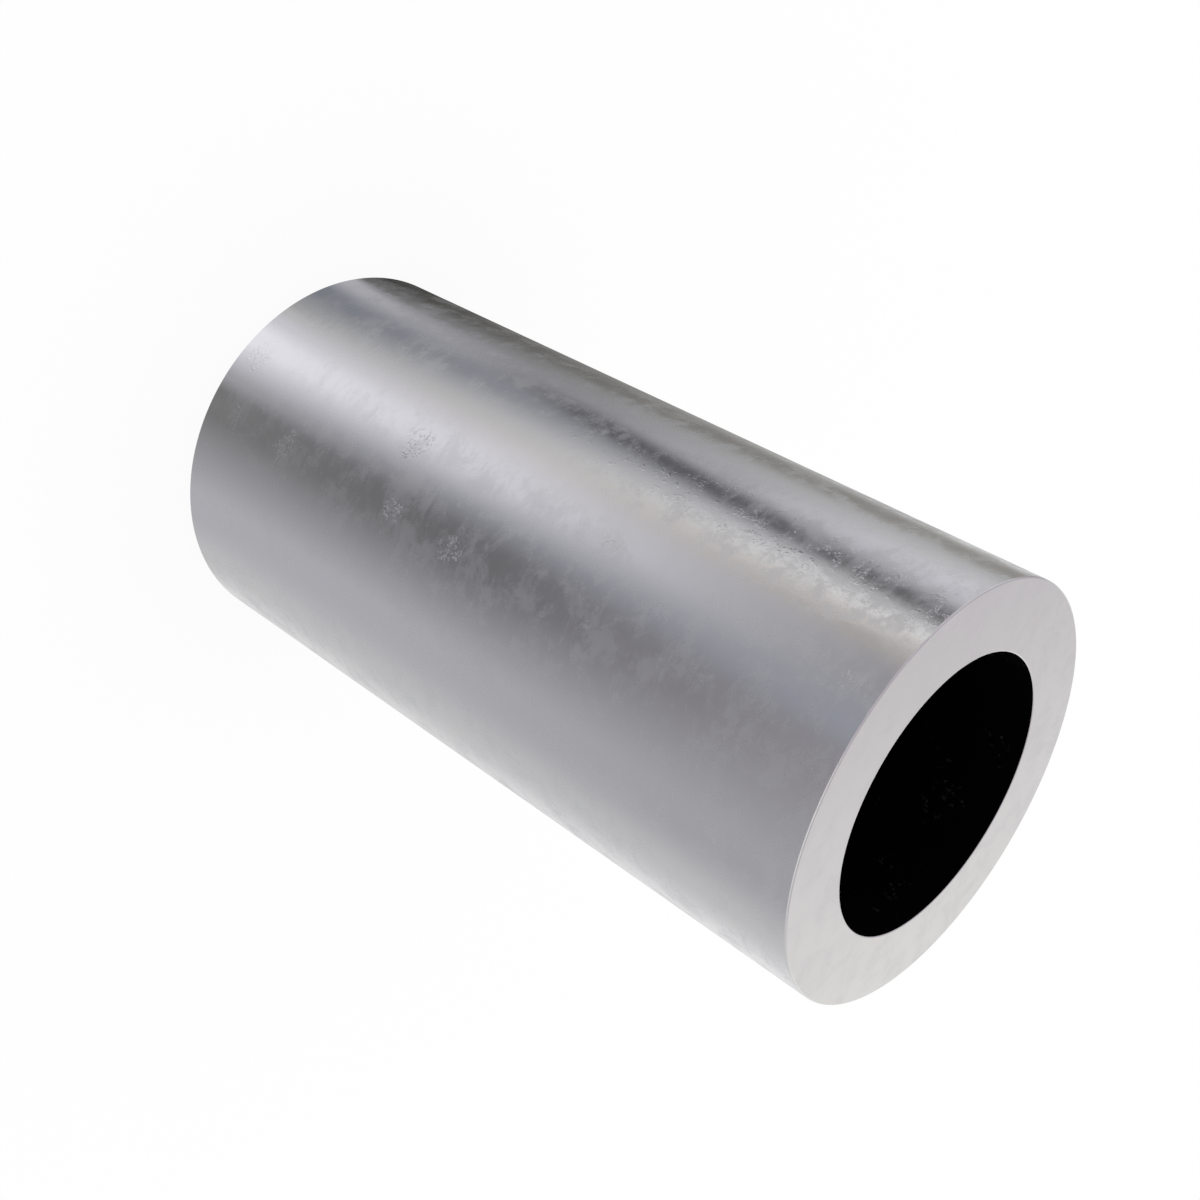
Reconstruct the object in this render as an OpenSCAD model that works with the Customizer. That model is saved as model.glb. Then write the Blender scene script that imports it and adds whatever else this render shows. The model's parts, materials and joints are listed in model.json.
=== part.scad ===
// Plain sleeve bushing: one thick-walled steel tube, turned and parted off square at both ends.
// A pin runs in the bore, and the outside is a press fit in a housing.
// It stands on one end: the axis is +Z, and the origin is the centre of the lower end face.

/* [Sleeve] */
// Outside diameter, pressed into the housing
outer_d = 30; // [26:0.5:60]
// Bore diameter, running on the pin
bore_d = 20; // [6:0.5:24]
// Length from one end face to the other
length = 60.25; // [20:0.25:150]

/* [Edges] */
// Leg of the 45 degree edge break round the outside of each end
outer_break = 0.1; // [0.05:0.05:0.4]
// Leg of the 45 degree edge break round each mouth of the bore
bore_break = 0.1; // [0.05:0.05:0.4]

/* [Hidden] */
$fn = 180;
outer_r = outer_d / 2;
bore_r = bore_d / 2;

// Half of the lengthwise section, drawn as radius by height.
// It runs up the bore from the lower mouth and back down the outside.
module half_section() {
    polygon([
        [bore_r + bore_break, 0],
        [bore_r, bore_break],
        [bore_r, length - bore_break],
        [bore_r + bore_break, length],
        [outer_r - outer_break, length],
        [outer_r, length - outer_break],
        [outer_r, outer_break],
        [outer_r - outer_break, 0]
    ]);
}

// The whole bushing is one turned piece, so it is the section revolved once round the axis.
module sleeve() {
    color("silver")
        rotate_extrude()
            half_section();
}

sleeve();
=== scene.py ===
# %% [markdown]
# # A plain sleeve bushing
#
# A sleeve bushing is the simplest of machine parts: one piece of thick-walled steel tube, faced square at
# both ends. A pin turns in the bore, and the outside is pressed into a housing. With so little shape to
# look at, the picture stands or falls by the metal, so this lesson spends most of its cells on the finish
# of the steel and on what the steel has around it to reflect.
#
# The tube stands on one end, and its axis is Z. The scene is in metres. Patterns on the steel are laid out
# in millimetres, so that each can be compared with a ruler.

# %% Load the frame and keep its box
import json
import math

import bmesh
import bpy
import numpy as np
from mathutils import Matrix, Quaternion, Vector


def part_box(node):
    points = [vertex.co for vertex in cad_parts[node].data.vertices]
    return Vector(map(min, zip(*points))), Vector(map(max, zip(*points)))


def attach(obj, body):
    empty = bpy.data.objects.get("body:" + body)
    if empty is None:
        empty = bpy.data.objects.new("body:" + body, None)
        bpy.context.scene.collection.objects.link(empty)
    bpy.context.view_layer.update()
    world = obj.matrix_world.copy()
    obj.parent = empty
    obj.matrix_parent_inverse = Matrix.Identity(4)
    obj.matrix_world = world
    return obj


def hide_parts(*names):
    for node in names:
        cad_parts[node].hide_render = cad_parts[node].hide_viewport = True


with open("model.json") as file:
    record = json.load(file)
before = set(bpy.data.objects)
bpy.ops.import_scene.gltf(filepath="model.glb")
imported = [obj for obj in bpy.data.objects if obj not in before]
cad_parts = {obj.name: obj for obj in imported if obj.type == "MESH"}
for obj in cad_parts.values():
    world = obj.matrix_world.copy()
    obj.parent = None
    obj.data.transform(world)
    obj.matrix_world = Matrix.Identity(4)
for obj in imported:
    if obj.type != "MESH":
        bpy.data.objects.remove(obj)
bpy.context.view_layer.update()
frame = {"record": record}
MM = 0.001
UP = Vector((0, 0, 1))


def in_mm(point):
    """A point in millimetres, rounded for printing."""
    return tuple(round(part / MM, 2) for part in point)


# %% [markdown]
# ## Reading the sizes
#
# Nothing is measured twice. The length is the height of the solid's own box, and the two diameters come
# from the mounts, because the bore and the outside are what the bushing is bought by. The edge break isn't
# stated anywhere, but each mount stops where the break starts, so it is half of what the mount lacks of
# the whole length.

# %% Sizes of the sleeve
mounts = {mount["name"]: mount for mount in frame["record"]["mounts"]}
low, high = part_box("sleeve")
length = high.z - low.z
bore_r = mounts["bore"]["dims"]["r_mm"] * MM
outer_r = mounts["outside"]["dims"]["r_mm"] * MM
edge_break = (length - mounts["outside"]["dims"]["length_mm"] * MM) / 2
print(f"length {length / MM:.2f}, outside {2 * outer_r / MM:.2f}, bore {2 * bore_r / MM:.2f},",
      f"edge break {edge_break / MM:.3f} mm")

# %% [markdown]
# ## Turning the sleeve
#
# On a lathe the part is a section carried round an axis. A cylinder with a hole cut in it by a Boolean
# would look the same, but it leaves long thin faces where the two meet. Spinning the section gives clean
# rings of quads instead: four corners make the wall, and the spin carries the wall once round the axis.
# The full turn needs use_merge, so that the last ring closes on the first.

# %% Spin the wall's section round the axis
STEPS_ROUND = 256
SAME_PLACE = edge_break / 100


def turned_wall():
    wall = bmesh.new()
    corners = [(bore_r, low.z), (outer_r, low.z), (outer_r, high.z), (bore_r, high.z)]
    verts = [wall.verts.new((radius, 0, height)) for radius, height in corners]
    edges = [wall.edges.new((verts[i - 1], verts[i])) for i in range(len(verts))]
    bmesh.ops.spin(wall, geom=verts + edges, cent=(0, 0, 0), axis=UP, dvec=(0, 0, 0),
                   angle=math.tau, steps=STEPS_ROUND, use_merge=True)
    bmesh.ops.remove_doubles(wall, verts=wall.verts, dist=SAME_PLACE)
    bmesh.ops.recalc_face_normals(wall, faces=wall.faces)
    return wall


wall = turned_wall()
print(len(wall.verts), "corners in", len(wall.verts) // STEPS_ROUND, "rings")

# %% [markdown]
# ## Breaking the edges
#
# A turned edge is never left sharp: a touch of the file takes off a tenth of a millimetre. It is too small
# to see as a shape, but it catches a thin line of light, and that line is what makes the end look like
# metal and not like paper. The four rings where two faces meet squarely are the edges to break, so they
# are found by their angle and not by number.

# %% Bevel the four rings
SQUARE = math.radians(60)
CREASE = math.radians(15)


def meets_past(edge, angle):
    return edge.is_manifold and edge.calc_face_angle() > angle


rims = [edge for edge in wall.edges if meets_past(edge, SQUARE)]
bmesh.ops.bevel(wall, geom=rims, offset=edge_break, offset_type="OFFSET", affect="EDGES", segments=2,
                profile=0.5, material=-1)
for face in wall.faces:
    face.smooth = True
for edge in wall.edges:
    edge.smooth = not meets_past(edge, CREASE)
print(len(rims), "rim edges broken,", len(wall.faces), "faces")

# %% [markdown]
# ## Short words for node trees
#
# A finish is a tree of nodes. Written out one node at a time it would be mostly sockets and links, and what
# the finish is would drown in them. So a few helpers make a node with all its settings in one call, and the
# cells that follow can read like a list of what the steel has been through.

# %% Nodes and finishes


def add_node(tree, kind, inputs=None, **settings):
    """A new node. Each input is either another node's output, which is linked, or a plain value."""
    node = tree.nodes.new(kind)
    for name, value in settings.items():
        setattr(node, name, value)
    for name, value in (inputs or {}).items():
        socket = node.inputs[name]
        if isinstance(value, bpy.types.NodeSocket):
            tree.links.new(value, socket)
        else:
            socket.default_value = value
    return node


def new_finish(name):
    finish = bpy.data.materials.new(name)
    finish.use_nodes = True
    finish.node_tree.nodes.clear()
    return finish, finish.node_tree


def show(tree, shader):
    add_node(tree, "ShaderNodeOutputMaterial", {"Surface": shader.outputs[0]})


# %% Patterns and sums


def stretched(tree, place, scale):
    return add_node(tree, "ShaderNodeMapping", {"Vector": place, "Scale": scale}).outputs["Vector"]


def millimetres(tree):
    """Where a point of the piece lies, in millimetres."""
    place = add_node(tree, "ShaderNodeTexCoord").outputs["Object"]
    return stretched(tree, place, (1 / MM, 1 / MM, 1 / MM))


def cloud(tree, place, grain_mm, detail=6.0, rough=0.6, distortion=0.0):
    settings = {"Vector": place, "Scale": 1 / grain_mm, "Detail": detail, "Roughness": rough,
                "Distortion": distortion}
    return add_node(tree, "ShaderNodeTexNoise", settings).outputs["Fac"]


def between(tree, value, start, stop, first=0.0, last=1.0, smooth=True):
    """A value that goes from first to last while the other goes from start to stop."""
    settings = {"Value": value, "From Min": start, "From Max": stop, "To Min": first, "To Max": last}
    kind = "SMOOTHSTEP" if smooth else "LINEAR"
    return add_node(tree, "ShaderNodeMapRange", settings, interpolation_type=kind).outputs["Result"]


def combine(tree, operation, *values):
    return add_node(tree, "ShaderNodeMath", dict(enumerate(values)), operation=operation).outputs["Value"]


def times(tree, *values):
    return combine(tree, "MULTIPLY", *values)


def times_plus(tree, value, factor, added):
    return combine(tree, "MULTIPLY_ADD", value, factor, added)


def blend_colour(tree, factor, first, second):
    return add_node(tree, "ShaderNodeMix", {0: factor, 6: first, 7: second}, data_type="RGBA").outputs[2]


# %% [markdown]
# ## Marks that come back
#
# The bar was drawn through feed rollers before it was cut. A chip stuck on a roller marks the bar again at
# every turn, so the clusters of scuffs come back at equal steps along the length. They could be modelled
# dent by dent, but a dent is far smaller than a face. So the height is wrapped at one turn of the roller,
# and then a mark is only a ball about one place: the nearer, the more scuffed. Further up the bar the chip
# had worn down, so there the marks are shallower.

# %% Where the rollers marked the bar
ROLLER_TURN = 18.6
# name: azimuth in degrees, where 0 is the front and 90 is +X, then height and radius in millimetres
MARKS = {"chip": (33, 1.9, 2.1), "dent": (52, 3.1, 1.8), "pinch": (52, 9.4, 2.0)}
MARKS_FADE = (24, 42)
FADED_DEPTH = 0.45


def facing(azimuth):
    """The level direction towards a viewer who stands at this azimuth."""
    return Vector((math.sin(azimuth), -math.cos(azimuth), 0))


def nearness(tree, place, azimuth, height, radius):
    """How near a point lies to a place on the outside: 0 from this radius on, 1 at the place itself."""
    middle = facing(math.radians(azimuth)) * outer_r / MM + UP * height
    away = add_node(tree, "ShaderNodeVectorMath", {0: place, 1: middle}, operation="DISTANCE")
    return between(tree, away.outputs["Value"], radius, 0.0, smooth=False)


def roller_marks(tree, place):
    """How deep the rollers marked the steel, from 0 to 1."""
    parts = add_node(tree, "ShaderNodeSeparateXYZ", {"Vector": place}).outputs
    wrapped = combine(tree, "MODULO", parts["Z"], ROLLER_TURN)
    one_turn = add_node(tree, "ShaderNodeCombineXYZ", {"X": parts["X"], "Y": parts["Y"], "Z": wrapped})
    depth = 0.0
    for mark in MARKS.values():
        depth = combine(tree, "MAXIMUM", depth, nearness(tree, one_turn.outputs["Vector"], *mark))
    return times(tree, depth, between(tree, parts["Z"], *MARKS_FADE, 1.0, FADED_DEPTH))


print(len(MARKS), "marks, again at every", ROLLER_TURN, "mm")

# %% [markdown]
# ## The line of a guide rail
#
# Along one line the bar has slid on a guide rail, most of all near its upper end. Hard spots of the rail
# polished it and others scraped it, so the line glitters in patches, and fine specks lie beside it. Such a
# line is also only nearness to a place. If the height is squashed first, the ball about that place becomes
# long and narrow.

# %% Where the rail rubbed the bar
RAIL_SQUASH = 0.12
# azimuth in degrees, height of the middle and half the width in millimetres
RAIL = (17, 48, 4.2)
SPECKS = (9, 48, 4.2)
PATCH_SIZE = 1.8
SCRAPED, BUFFED = -1.5, 1.0


def nearness_to_line(tree, place, azimuth, height, half_width):
    squashed = stretched(tree, place, (1, 1, RAIL_SQUASH))
    return nearness(tree, squashed, azimuth, height * RAIL_SQUASH, half_width)


def rail_patches(tree, place, rail):
    """Patches on the rail's line: above 0 where it is polished, below 0 where it is scraped."""
    noise = cloud(tree, place, PATCH_SIZE, detail=6, rough=0.75)
    return times(tree, between(tree, noise, 0.40, 0.60, SCRAPED, BUFFED), between(tree, rail, 0.4, 0.75))


print("rail at", RAIL[0], "degrees, rubbed over about", round(2 * RAIL[2] / RAIL_SQUASH), "mm")

# %% [markdown]
# ## Dull patches and scuffs
#
# The outside is bright drawn steel with a satin look. Handling has rubbed cloudy patches of it a little
# duller, with wispy borders and with strokes that run round the bar. Painted in a darker colour, they would
# show everywhere alike, but real ones show best where a reflection ends, because they only scatter light
# more. So they are worked out here for the roughness. The scuffs are small nicks, and they are for the bump:
# they lie in clusters where the rollers pressed, and shallower ones beside the rail's line.

# %% Patterns of wear
CLOUD_SIZE, STROKE_SIZE, CLUSTER_SIZE, NICK_SIZE = 2.4, 0.8, 0.9, 0.28
ROUND_THE_BAR = (0.4, 0.4, 1)
CLOUD_SHARE = 0.65
MARKS_DULL = 0.08
RAIL_LEAVES_DULL = 0.45
SPECK_DEPTH = 0.3


def dull_patches(tree, place, depth, rail):
    clouds = cloud(tree, place, CLOUD_SIZE, detail=6, rough=0.66, distortion=0.5)
    wiped = stretched(tree, place, ROUND_THE_BAR)
    strokes = cloud(tree, wiped, STROKE_SIZE, detail=5, rough=0.65, distortion=1.0)
    patchy = times_plus(tree, clouds, CLOUD_SHARE, times(tree, strokes, 1 - CLOUD_SHARE))
    dulled = between(tree, times_plus(tree, depth, MARKS_DULL, patchy), 0.42, 0.63)
    return times(tree, dulled, between(tree, rail, 0.0, 0.4, 1.0, RAIL_LEAVES_DULL))


def nicked(tree, place, depth):
    clusters = cloud(tree, place, CLUSTER_SIZE, detail=1)
    flecked = between(tree, times(tree, depth, clusters), 0.15, 0.33)
    beside = between(tree, nearness_to_line(tree, place, *SPECKS), 0.3, 0.6)
    specks = times(tree, beside, between(tree, clusters, 0.5, 0.66))
    nicks = between(tree, cloud(tree, place, NICK_SIZE, detail=1), 0.53, 0.61)
    return times(tree, nicks, times_plus(tree, specks, SPECK_DEPTH, flecked))


# %% [markdown]
# ## The steel
#
# Now the patterns only have to be put where they act. The colour stays nearly constant. The roughness rises
# where the steel is dulled or scraped, and it falls where the rail polished it. A very shallow bump holds the
# nicks and a fine grain. The ends are the same steel fresh from the lathe, so the wear is a number that can
# be turned down.

# %% The steel of the outside and the ends
STEEL_CLEAN = (0.70, 0.70, 0.705, 1)
STEEL_RUBBED = (0.694, 0.694, 0.70, 1)
SATIN, DULLER, POLISHED = 0.18, 0.18, 0.10
GRAIN_SIZE = 0.15
GRAIN, GRAIN_ON_RAIL, NICK_DEPTH = 0.22, 0.15, 2.8
BUMP_SHARE, BUMP_DEPTH = 0.4, 0.025 * MM


def satin_steel(name, wear):
    """Steel from fresh off the tool, at a wear of 0, to rolled and handled, at 1."""
    finish, tree = new_finish(name)
    place = millimetres(tree)
    depth = roller_marks(tree, place)
    rail = nearness_to_line(tree, place, *RAIL)
    patches = rail_patches(tree, place, rail)
    dulled = dull_patches(tree, place, depth, rail)
    satin = between(tree, dulled, 0.0, 1.0, SATIN, SATIN + wear * DULLER, smooth=False)
    fine = cloud(tree, place, GRAIN_SIZE, detail=2)
    grain = times(tree, fine, times_plus(tree, patches, GRAIN_ON_RAIL, GRAIN))
    bump = add_node(tree, "ShaderNodeBump", {
        "Height": times_plus(tree, nicked(tree, place, depth), NICK_DEPTH, grain),
        "Strength": BUMP_SHARE * wear,
        "Distance": BUMP_DEPTH,
    })
    steel = add_node(tree, "ShaderNodeBsdfPrincipled", {
        "Base Color": blend_colour(tree, dulled, STEEL_CLEAN, STEEL_RUBBED),
        "Metallic": 1.0,
        "Roughness": times_plus(tree, patches, -POLISHED * wear, satin),
        "Normal": bump.outputs["Normal"],
    })
    show(tree, steel)
    return finish


drawn_steel = satin_steel("drawn_steel", 1.0)
faced_steel = satin_steel("faced_steel", 0.55)
print(drawn_steel.name, "and", faced_steel.name, "of", len(drawn_steel.node_tree.nodes), "nodes each")

# %% [markdown]
# ## The painted shade of the bore
#
# The bore shows as a black hole right up to its mouth, with a few specks that are only just lighter. Bright
# steel would show a bright curved reflection there, so the shade inside the bore is painted into its colour:
# near black, with faint lighter specks in patches. It has nothing to reflect, and its gloss is all but off.

# %% The painted shade in the bore
# Painted shade: near black for the inside of the bore, with faint lighter specks in it.
BORE_SHADE_BLACK = (0.0006, 0.0006, 0.0006, 1)
BORE_SHADE_SPECK = (0.022, 0.022, 0.022, 1)
BORE_DULL, SPECK_DULL = 0.95, 0.8
BORE_GLOSS = 0.02
BORE_PATCH_SIZE, BORE_SPECK_SIZE = 3.0, 0.45


# Painted shade: the bore's colour is near black with faint lighter specks, in place of the shade inside it.
def painted_bore_shade(name):
    finish, tree = new_finish(name)
    place = millimetres(tree)
    patchy = between(tree, cloud(tree, place, BORE_PATCH_SIZE, detail=3), 0.54, 0.66)
    specks = between(tree, cloud(tree, place, BORE_SPECK_SIZE, detail=3), 0.58, 0.72)
    bore_dark = add_node(tree, "ShaderNodeBsdfPrincipled", {
        "Base Color": blend_colour(tree, times(tree, patchy, specks), BORE_SHADE_BLACK, BORE_SHADE_SPECK),
        "Roughness": between(tree, specks, 0.0, 1.0, BORE_DULL, SPECK_DULL, smooth=False),
        "Specular IOR Level": BORE_GLOSS,
    })
    show(tree, bore_dark)
    return finish


bore_shade = painted_bore_shade("painted_bore_shade")
print(bore_shade.name, "of", len(bore_shade.node_tree.nodes), "nodes")

# %% [markdown]
# ## Dressing the sleeve
#
# The two finishes of the steel and the painted shade of the bore belong to one piece of steel, so they
# are three material slots of one mesh and not three pieces. Each face tells by itself which one it takes:
# it is in the bore if its middle lies about at the bore's radius, on an end if it faces up or down, and
# otherwise on the outside.

# %% Make the piece and hand it to the frame
OUTSIDE, ENDS, BORE = 0, 1, 2
BORE_REACH = bore_r + edge_break / 4
LEVEL_FACE = 0.5


def piece_of(name, shape, finishes):
    mesh = bpy.data.meshes.new(name)
    shape.to_mesh(mesh)
    shape.free()
    for finish in finishes:
        mesh.materials.append(finish)
    piece = bpy.data.objects.new(name, mesh)
    bpy.context.scene.collection.objects.link(piece)
    return piece


def side_of(face):
    if face.calc_center_median().to_2d().length < BORE_REACH:
        return BORE
    return ENDS if abs(face.normal.z) > LEVEL_FACE else OUTSIDE


for face in wall.faces:
    face.material_index = side_of(face)
bore_faces = sum(face.material_index == BORE for face in wall.faces)
sleeve = piece_of("sleeve_finished", wall, [drawn_steel, faced_steel, bore_shade])
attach(sleeve, "root")
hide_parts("sleeve")
print(sleeve.name, len(sleeve.data.polygons), "faces,", bore_faces, "of them in the bore")

# %% [markdown]
# ## The camera
#
# The photo is a true isometric view: the tube's axis comes towards the camera as much as it runs to the
# right and down. So the camera stands on the cube's diagonal from the middle of the tube, and it is rolled
# over until the standing tube lies across the picture. The lens is a plain 50 mm.

# %% Set up the camera
VIEW_FROM = Vector((1, -1, 1)).normalized()
CAMERA_REACH = 8.104 * outer_r
ROLL = math.radians(120)

lens = bpy.data.cameras.new("camera")
lens.lens, lens.sensor_width = 50, 36
lens.clip_start, lens.clip_end = 1 * MM, 20
camera = bpy.data.objects.new("camera", lens)
camera.rotation_mode = "QUATERNION"
camera.location = (low + high) / 2 + VIEW_FROM * CAMERA_REACH
camera.rotation_quaternion = (-VIEW_FROM).to_track_quat("-Z", "Y") @ Quaternion(UP, ROLL)
bpy.context.scene.collection.objects.link(camera)
bpy.context.scene.camera = camera
bpy.context.scene.view_settings.view_transform = "Standard"
print("camera at", in_mm(camera.location), "mm")

# %% [markdown]
# ## A white room
#
# The part is shown on plain white with hardly a shadow. More light would only burn the metal out, so the
# white is in the floor and the world themselves: to the camera they glow at exactly one, which is white,
# and everything else they do is to light the part evenly. A small share of the floor is ordinary white
# paint, and that share keeps the soft shadow where the sleeve stands.

# %% The floor
FLOOR_R = 4.0
PAINT_SHARE = 0.12
PAINT = (0.99, 0.99, 0.99, 1)
WHITE = (1, 1, 1, 1)


def floor_white():
    finish, tree = new_finish("floor_white")
    path = add_node(tree, "ShaderNodeLightPath").outputs
    in_gloss = combine(tree, "MAXIMUM", path["Is Glossy Ray"], path["Is Transmission Ray"])
    seen = combine(tree, "MAXIMUM", path["Is Camera Ray"], in_gloss)
    glow = add_node(tree, "ShaderNodeEmission", {"Color": WHITE, "Strength": 1.0}).outputs[0]
    paint = add_node(tree, "ShaderNodeBsdfDiffuse", {"Color": PAINT}).outputs[0]
    share = times(tree, seen, 1 - PAINT_SHARE)
    show(tree, add_node(tree, "ShaderNodeMixShader", {0: share, 1: paint, 2: glow}))
    return finish


def laid_floor():
    disc = bmesh.new()
    bmesh.ops.create_circle(disc, cap_ends=True, segments=64, radius=FLOOR_R)
    return disc


floor = piece_of("floor", laid_floor(), [floor_white()])
print("floor", 2 * FLOOR_R, "m across")

# %% [markdown]
# ## Light that falls off
#
# An end face is flat, so in an even room it would be one flat grey. A real room is brighter towards its
# windows, and each point of the end mirrors another part of it. So in the metal the world's white falls off
# slowly along one direction. It is set so that the part of the room that the middle of the end mirrors has a
# chosen level.

# %% The world
FALL_OFF = Vector((0.40, 0.60, -1.3))
FACE_LEVEL = 0.85
ROOM_DIM, ROOM_BRIGHT = (0.565, 0.52, 0.57, 1), (1.06, 1.06, 1.015, 1)
face_sees = Vector((-camera.location.x, -camera.location.y, camera.location.z - high.z)).normalized()


def white_room():
    world = bpy.data.worlds.new("white_room")
    world.use_nodes = True
    tree = world.node_tree
    tree.nodes.clear()
    toward = add_node(tree, "ShaderNodeTexCoord").outputs["Generated"]
    across = add_node(tree, "ShaderNodeVectorMath", {0: toward, 1: FALL_OFF}, operation="DOT_PRODUCT")
    at_level = FALL_OFF.dot(face_sees) - FACE_LEVEL
    dim_end, bright_end = at_level + ROOM_DIM[0], at_level + ROOM_BRIGHT[0]
    lit = between(tree, across.outputs["Value"], dim_end, bright_end, smooth=False)
    room = blend_colour(tree, lit, ROOM_DIM, ROOM_BRIGHT)
    in_metal = add_node(tree, "ShaderNodeLightPath").outputs["Is Glossy Ray"]
    light = add_node(tree, "ShaderNodeBackground", {"Color": blend_colour(tree, in_metal, WHITE, room)})
    add_node(tree, "ShaderNodeOutputWorld", {"Surface": light.outputs[0]})
    return world


bpy.context.scene.world = white_room()
print("the end mirrors the room towards", [round(part, 2) for part in face_sees])

# %% [markdown]
# ## Cards for the steel to reflect
#
# A bright tube in an all-white room is a white tube: metal shows only what stands around it. So a
# photographer lays dark and light cards about it, outside the picture. Seen from above, the side of the
# tube mirrors the floor round its foot, and each card becomes a band along the tube. Lamps could make the
# bright bands but not the dark ones. The bands of the photo have soft borders and change along the tube, so
# the cards are cut from one sheet: each fades into the next, and from its foot to its rim.

# %% Shades of the cards
NEUTRAL, LILAC, BLUE = (1.0, 1.0, 1.01), (1.01, 1.0, 1.07), (0.955, 1.0, 1.14)
BROWN, STRAW, MAUVE = (1.025, 1.0, 0.945), (1.06, 1.0, 0.96), (1.04, 1.0, 1.09)
# name: the first and last azimuth of its band on the tube in degrees, then the shade of its foot, middle and
# rim, which show at the tube's lower end, middle and upper end, and the tints of its foot and its rim
CARDS = {
    "lee": (-225, -190, (0.82, 0.80, 0.92), NEUTRAL, NEUTRAL),
    "back": (-110, -44, (0.05, 0.32, 0.64), NEUTRAL, NEUTRAL),
    "edge": (-38, -32, (0.03, 0.30, 0.76), BROWN, NEUTRAL),
    "brown": (-28, -21, (0.05, 0.21, 0.32), BROWN, BROWN),
    "haze": (-16, -13, (0.15, 0.34, 0.66), NEUTRAL, NEUTRAL),
    "pale": (-9, -5, (0.53, 0.36, 0.78), LILAC, LILAC),
    "cool": (1, 5, (0.27, 0.34, 0.58), BLUE, LILAC),
    "gleam": (13, 13.5, (0.46, 0.66, 0.94), NEUTRAL, NEUTRAL),
    "straw": (16, 17, (0.62, 0.68, 0.72), NEUTRAL, STRAW),
    "turn": (20, 21, (0.76, 0.76, 0.44), LILAC, STRAW),
    "bright": (26, 31, (1.06, 0.86, 0.36), LILAC, LILAC),
    "dusk": (42, 43, (0.46, 0.30, 0.40), LILAC, BLUE),
    "dark": (47, 55, (0.24, 0.17, 0.34), NEUTRAL, MAUVE),
    "grey": (78, 88, (0.56, 0.54, 0.46), LILAC, LILAC),
    "light": (100, 104, (0.66, 0.67, 0.67), NEUTRAL, NEUTRAL),
    "white": (118, 135, (0.82, 0.80, 0.92), NEUTRAL, NEUTRAL),
}
FOOT_MIDDLE_RIM = (0, 0.5, 1)


def card_colour(shades, foot, rim, share):
    """A card's colour at this share of the way from its foot to its rim."""
    return Vector(foot).lerp(Vector(rim), share) * float(np.interp(share, FOOT_MIDDLE_RIM, shades))


print(len(CARDS), "cards:", ", ".join(CARDS))

# %% [markdown]
# ## A dark strip across them
#
# One dark line in the metal runs askew: it starts about a third of the way up the tube, and it turns round
# it a little on its way to the upper end. No card can make that, because a card's band is straight. So a
# narrow black strip lies over the cards at a slant, with a soft border.

# %% Lay the strip over the cards
# where the strip's middle starts and ends: shares of the way from foot to rim, and azimuths in degrees
STRIP_SHARES, STRIP_ANGLES = (0.36, 1.0), (-3.5, 5.8)
STRIP_FADES_IN = (0.26, 0.56)
STRIP_CORE, STRIP_HALF = 1.0, 5.5
STRIP_SHADE = Vector((0.09, 0.09, 0.095))


def ease(value, start, stop):
    share = min(max((value - start) / (stop - start), 0), 1)
    return share * share * (3 - 2 * share)


def strip_cover(angle, share):
    """How much of the strip lies here: 1 along its middle, 0 beyond its soft border."""
    middle = np.interp(share, STRIP_SHARES, STRIP_ANGLES)
    return ease(abs(angle - middle), STRIP_HALF, STRIP_CORE) * ease(share, *STRIP_FADES_IN)


def paper_at(angle, share):
    """The sheet's colour: a card's own or a fade between two cards, and the strip over them."""
    stops, colours = [], []
    for first, last, shades, foot, rim in CARDS.values():
        stops += [first, last]
        colours += [card_colour(shades, foot, rim, share)] * 2
    paper = Vector([float(np.interp(angle, stops, part)) for part in zip(*colours)])
    return (*paper.lerp(STRIP_SHADE, strip_cover(angle, share)), 1)


print("strip from", STRIP_ANGLES[0], "to", STRIP_ANGLES[1], "degrees")

# %% [markdown]
# ## Where the mirrored rays go
#
# The sheet has to lie where the camera sees it in the steel. A mirrored ray turns twice as fast as the wall
# that mirrors it, and the higher up the wall, the further out it meets the floor. Past the tube's outline
# the camera sees nothing mirrored, and there the ray runs straight on, away from the camera.

# %% Rays from the wall to the floor
CARD_LIFT = edge_break / 2
CAMERA_AZIMUTH = math.atan2(VIEW_FROM.x, -VIEW_FROM.y)
GRAZING = CAMERA_AZIMUTH - math.radians(90)


def reach_of(height):
    """How far from the tube the floor lies that the camera sees mirrored at this height of the near wall."""
    run = camera.location.to_2d().length - outer_r
    return height * run / (camera.location.z - height)


def foot_at(angle):
    """The sheet's foot just inside the wall and just above the floor."""
    return facing(angle) * (outer_r - CARD_LIFT) + UP * CARD_LIFT


def mirrored(angle):
    """The azimuth of the ray that is mirrored here, or runs straight on from here."""
    return 2 * max(angle, GRAZING) - CAMERA_AZIMUTH


print("the near wall mirrors the floor out to", round(reach_of(length) / MM), "mm")

# %% [markdown]
# ## Cutting the sheet
#
# The sheet starts as one line, from the foot of the tube along the first mirrored ray, and up at the far end
# like a fence, whose top has the shade of the room. The line is extruded step by step all round the tube.
# Each step turns the new line about the tube, and then about its own foot by what its ray turns further.
# The shades are kept at the sheet's corners. Only reflections see it, and it casts no shadow.

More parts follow.
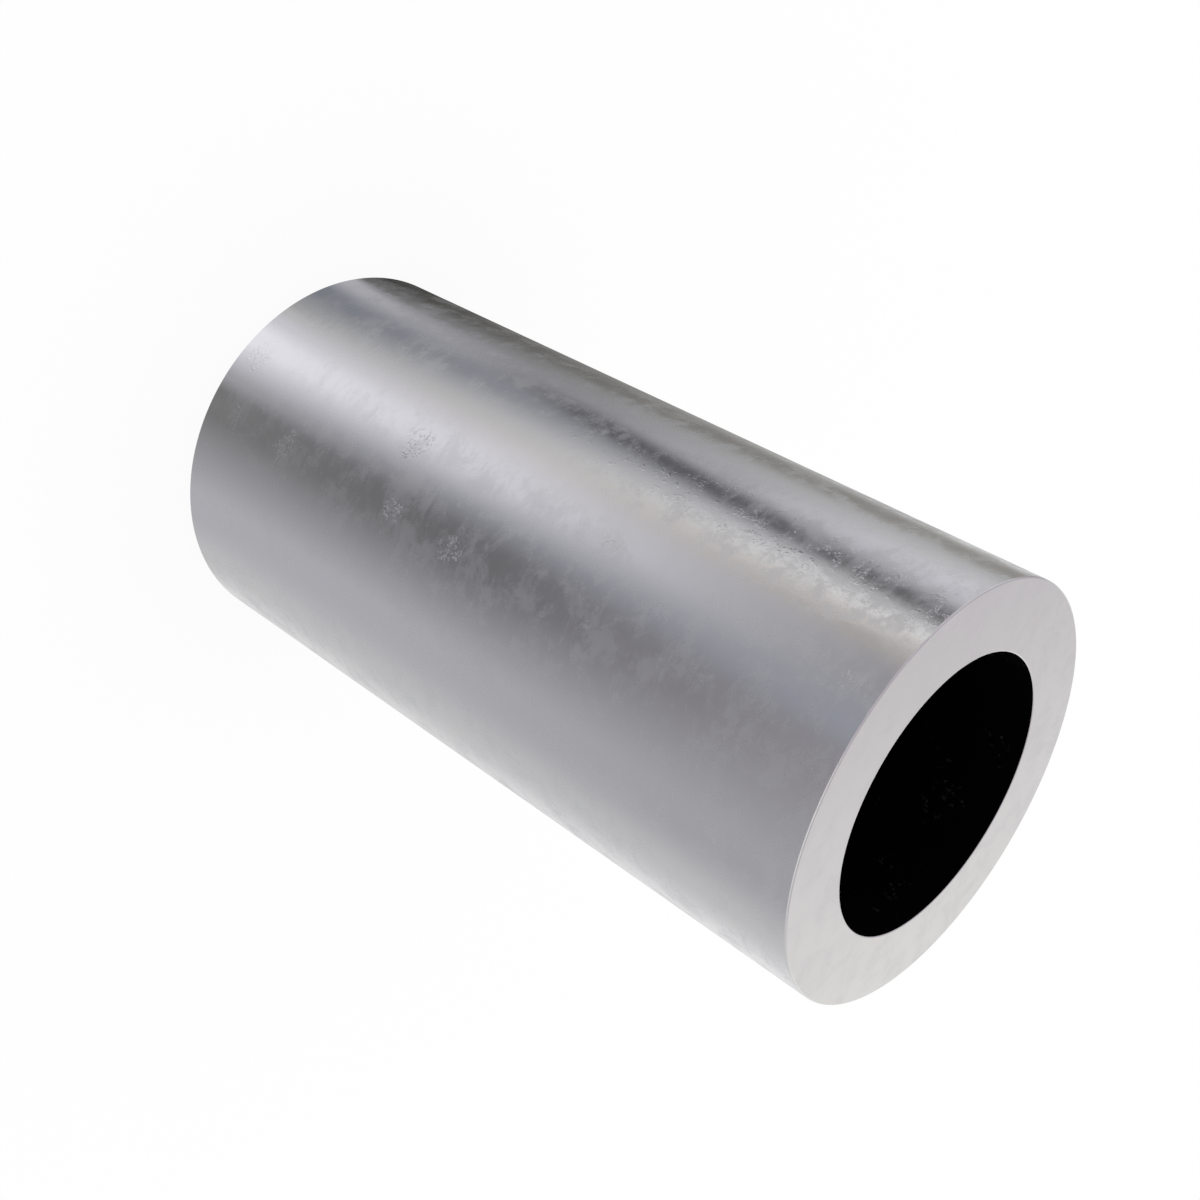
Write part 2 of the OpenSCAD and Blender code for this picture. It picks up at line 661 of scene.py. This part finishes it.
# %% Lay the sheet round the tube
FENCE_REACH = 400 * MM
FENCE_HEIGHT = 150 * MM
SKYLINE = (FACE_LEVEL, FACE_LEVEL, FACE_LEVEL, 1)
STEPS_OF_SHEET = 360
SHARES_ALONG = np.linspace(0, 1, 19).tolist()


def first_line(sheet, angle):
    ray = facing(mirrored(angle))
    places = [ray * reach_of(share * length) for share in SHARES_ALONG]
    places += [ray * FENCE_REACH, ray * FENCE_REACH + UP * FENCE_HEIGHT]
    verts = [sheet.verts.new(foot_at(angle) + place) for place in places]
    return verts, [sheet.edges.new(pair) for pair in zip(verts, verts[1:])]


def turned(sheet, verts, centre, angle):
    bmesh.ops.rotate(sheet, verts=verts, cent=centre, matrix=Quaternion(UP, angle).to_matrix())


def painted(layer, verts, angle):
    colours = [paper_at(math.degrees(angle), share) for share in SHARES_ALONG]
    verts.sort(key=lambda vert: (vert.co - foot_at(angle)).length)
    for vert, colour in zip(verts, [*colours, colours[-1], SKYLINE]):
        vert[layer] = colour


def sheet_of_cards():
    sheet = bmesh.new()
    layer = sheet.verts.layers.float_color.new("shade")
    angles = np.radians(np.linspace(CARDS["lee"][0], CARDS["white"][1], STEPS_OF_SHEET + 1)).tolist()
    verts, line = first_line(sheet, angles[0])
    painted(layer, verts, angles[0])
    for before, angle in zip(angles, angles[1:]):
        made = bmesh.ops.extrude_edge_only(sheet, edges=line)["geom"]
        line = [part for part in made if isinstance(part, bmesh.types.BMEdge)]
        verts = [part for part in made if isinstance(part, bmesh.types.BMVert)]
        turned(sheet, verts, (0, 0, 0), angle - before)
        turned(sheet, verts, foot_at(angle), mirrored(angle) - mirrored(before) - (angle - before))
        painted(layer, verts, angle)
    return sheet


def card_paper():
    finish, tree = new_finish("card_paper")
    shade = add_node(tree, "ShaderNodeAttribute", attribute_name="shade").outputs["Color"]
    show(tree, add_node(tree, "ShaderNodeEmission", {"Color": shade, "Strength": 1.0}))
    return finish


cards = piece_of("cards", sheet_of_cards(), [card_paper()])
cards.visible_camera = cards.visible_diffuse = cards.visible_shadow = False
cards.visible_transmission = cards.visible_volume_scatter = False
print("sheet of", len(cards.data.polygons), "faces")
